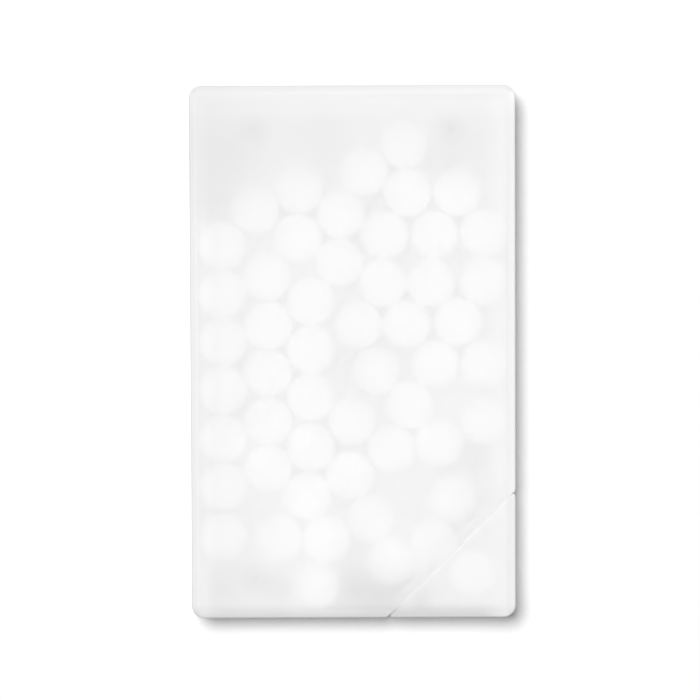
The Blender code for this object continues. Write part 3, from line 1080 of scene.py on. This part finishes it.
# The corner flap is the hollow wedge beyond the seam. It holds one mint in its pocket, swings out
# in the card's own plane, and clicks shut by a small tongue at the free end of the seam.
FLAP_TIP_RADIUS = 0.0003
FLAP_PLAN = (
    (-90, CARD_LENGTH / 2, CORNER_RADIUS, False),
    (0, CARD_WIDTH / 2, HINGE_TIP_RADIUS, False),
    (135, -SEAM_DISTANCE - SEAM_GAP / 2, FLAP_TIP_RADIUS, True),
)
POCKET_ROUND = 0.0005
TONGUE_ROUND = 0.0002
UPWARDS = 0.5

shape = bmesh.new()
levels = base_levels(PARTING)
top_levels = reversed(rounded_face(EDGE_ROUND))
levels += [(CARD_DEPTH - height, *insets) for height, *insets in top_levels]
skin(shape, FLAP_PLAN, levels)
flap_corner = piece_from(shape, "flap_corner")
side = CARD_WIDTH / 2 - SIDE_WALL
end = CARD_LENGTH / 2 - SIDE_WALL
low_mouth = seam_place(-FLAP_REACH, -PAST)
high_mouth = seam_place(FLAP_REACH, -PAST)
pocket_corners = [
    low_mouth,
    low_mouth + TO_CORNER * ((low_mouth.y + end) * math.sqrt(2)),
    Vector((side, -end)),
    high_mouth + TO_CORNER * ((side - high_mouth.x) * math.sqrt(2)),
    high_mouth,
]
pocket = upright("pocket", pocket_corners, PLATE, CEILING, side_round=POCKET_ROUND)
combine(flap_corner, "DIFFERENCE", pocket)
combine(flap_corner, "DIFFERENCE", hinge_window())
tongue = seam_block(
    "tongue",
    LATCH_ALONG,
    LATCH_WIDTH,
    SEAM_GAP / 2 - LATCH_REACH,
    SEAM_GAP / 2 + PAST,
    PARTING - LATCH_THICKNESS / 2,
    PARTING + LATCH_THICKNESS / 2,
    end_round=TONGUE_ROUND,
)
combine(flap_corner, "UNION", tongue)
finish_lid(flap_corner, (*lid_plastics, back_plastic))
# The flap's floor takes the tray's plastic, with its painted shade.
for face in flap_corner.data.polygons:
    if abs(face.center.z - PLATE) < FOOT_ROUND and face.normal.z > UPWARDS:
        face.material_index = FLAP_FLOOR
    elif face.center.z < PARTING:
        face.material_index = WALL
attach(flap_corner, "flap")
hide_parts("corner_flap")


# The hinge is a thin web of the same plastic, moulded across the notch at the right end of the
# seam. It has no pin, and it is thinned along its middle, where it would bend as the flap swings
# out.
FILM_THICKNESS = 0.00032
FILM_PLAY = 0.0003
FILM_LONG = HINGE_SPAN - FILM_PLAY
FILM_LOW = 0.0012
FILM_HIGH = 0.0050
FILM_THINNING = 0.42
FILM_BEND = 0.00022

shape = bmesh.new()
film = bmesh.ops.create_grid(shape, x_segments=24, y_segments=12, size=0.5)
bmesh.ops.scale(shape, verts=film["verts"], vec=(FILM_LONG, FILM_HIGH - FILM_LOW, 1))
bmesh.ops.rotate(shape, verts=film["verts"], matrix=Matrix.Rotation(math.radians(90), 3, "X"))
bmesh.ops.rotate(shape, verts=film["verts"], matrix=Matrix.Rotation(math.radians(90), 3, "Z"))
bmesh.ops.solidify(shape, geom=shape.faces, thickness=FILM_THICKNESS)
middle_x = sum(vert.co.x for vert in shape.verts) / len(shape.verts)
for vert in shape.verts:
    pinch = 1 - FILM_THINNING * math.exp(-((vert.co.y / FILM_BEND) ** 2))
    vert.co.x = (vert.co.x - middle_x) * pinch
place = (*HINGE_AXIS, (FILM_LOW + FILM_HIGH) / 2)
bmesh.ops.translate(shape, verts=shape.verts, vec=place)
hinge_film = piece_from(shape, "hinge_film")
hinge_film.data.materials.append(front_plastic)
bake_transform(hinge_film)
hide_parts("hinge_strap")


# The card lies on a plain white table. The table shows as clean white wherever the lamp reaches,
# and keeps the soft shadow that the card throws to its lower right.
TABLE_SIZE = 3.0
TABLE_DROP = 0.00002
TABLE_BOUNCE = (0.86, 0.86, 0.86, 1)
TABLE_LIFT = 0.01


def seen_by_camera(wire):
    """1 for rays that show a thing to the camera, mirrored or through plastic too, and 0 for
    those that light the other things."""
    kinds = ("Is Camera Ray", "Is Glossy Ray", "Is Transmission Ray")
    straight, mirrored, through = (
        wire.node("ShaderNodeLightPath", kind, {}, {}) for kind in kinds
    )
    return straight + mirrored + through


shape = bmesh.new()
bmesh.ops.create_grid(shape, x_segments=1, y_segments=1, size=TABLE_SIZE / 2)
bmesh.ops.translate(shape, verts=shape.verts, vec=(0, 0, -TABLE_DROP))
table = piece_from(shape, "table")
made, wire = empty_material("white_table")
seen = seen_by_camera(wire)
bounce = wire.node("ShaderNodeBsdfDiffuse", 0, {}, {"Color": TABLE_BOUNCE})
paper = wire.node("ShaderNodeBsdfDiffuse", 0, {}, {"Color": WHITE})
lift = wire.node("ShaderNodeEmission", 0, {}, {"Color": WHITE, "Strength": TABLE_LIFT})
shown = wire.node("ShaderNodeAddShader", 0, {}, {0: paper, 1: lift})
surface = wire.node("ShaderNodeMixShader", 0, {}, {0: seen, 1: bounce, 2: shown})
wire.node("ShaderNodeOutputMaterial", 0, {}, {"Surface": surface})
table.data.materials.append(made)


# One soft lamp hangs high over the card's upper left corner, and the white room round it fills
# the shadows.
LAMP_DISTANCE = 2.50
LAMP_TILT = math.radians(21)
LAMP_TURN = math.radians(56)
LAMP_SIZE = 1.30
LAMP_LEVEL = 0.894
ROOM_LEVEL = 0.18

lamp_data = bpy.data.lights.new("soft_lamp", "AREA")
lamp_data.shape = "DISK"
lamp_data.size = LAMP_SIZE
lamp_data.energy = LAMP_LEVEL * math.pi**2 * LAMP_DISTANCE**2 / math.cos(LAMP_TILT)
lean = math.sin(LAMP_TILT)
to_lamp = (-math.cos(LAMP_TURN) * lean, math.sin(LAMP_TURN) * lean, math.cos(LAMP_TILT))
lamp = bpy.data.objects.new("soft_lamp", lamp_data)
lamp.location = Vector(to_lamp) * LAMP_DISTANCE
lamp.rotation_euler = lamp.location.to_track_quat("Z", "Y").to_euler()
bpy.context.scene.collection.objects.link(lamp)

room = bpy.data.worlds.new("white_room")
room.use_nodes = True
room.node_tree.nodes.clear()
wire = Wire(room.node_tree)
seen = seen_by_camera(wire)
fill = wire.node("ShaderNodeBackground", 0, {}, {"Color": WHITE, "Strength": ROOM_LEVEL})
backdrop = wire.node("ShaderNodeBackground", 0, {}, {"Color": WHITE, "Strength": 1.0})
surface = wire.node("ShaderNodeMixShader", 0, {}, {0: seen, 1: fill, 2: backdrop})
wire.node("ShaderNodeOutputWorld", 0, {}, {"Surface": surface})
bpy.context.scene.world = room


# The camera looks almost straight down from half a metre, leaning towards the card's upper end,
# which is what makes its sides draw together below. It is turned a little too.
CAMERA_DISTANCE = 0.50
FRAME_WIDTH = 0.10756
SENSOR_WIDTH = 36.0
NEAREST_SEEN = 0.01
AIM = Vector((-0.00045, 0.00041, CARD_DEPTH))
LEAN = math.radians(3.2)
ROLL = math.radians(0.23)

to_camera = Vector((0, math.sin(LEAN), math.cos(LEAN)))
camera_data = bpy.data.cameras.new("camera")
camera_data.sensor_width = SENSOR_WIDTH
camera_data.lens = SENSOR_WIDTH * CAMERA_DISTANCE / FRAME_WIDTH
camera_data.clip_start = NEAREST_SEEN
camera = bpy.data.objects.new("camera", camera_data)
camera.location = AIM + to_camera * CAMERA_DISTANCE
across = Vector((math.cos(ROLL), -math.sin(ROLL), 0))
upwards = to_camera.cross(across).normalized()
across = upwards.cross(to_camera)
camera.rotation_euler = Matrix((across, upwards, to_camera)).transposed().to_euler()
bpy.context.scene.collection.objects.link(camera)
bpy.context.scene.camera = camera
bpy.context.scene.view_settings.view_transform = "Standard"
bpy.context.scene.cycles.diffuse_bounces = 8
bpy.context.scene.cycles.transparent_max_bounces = 16
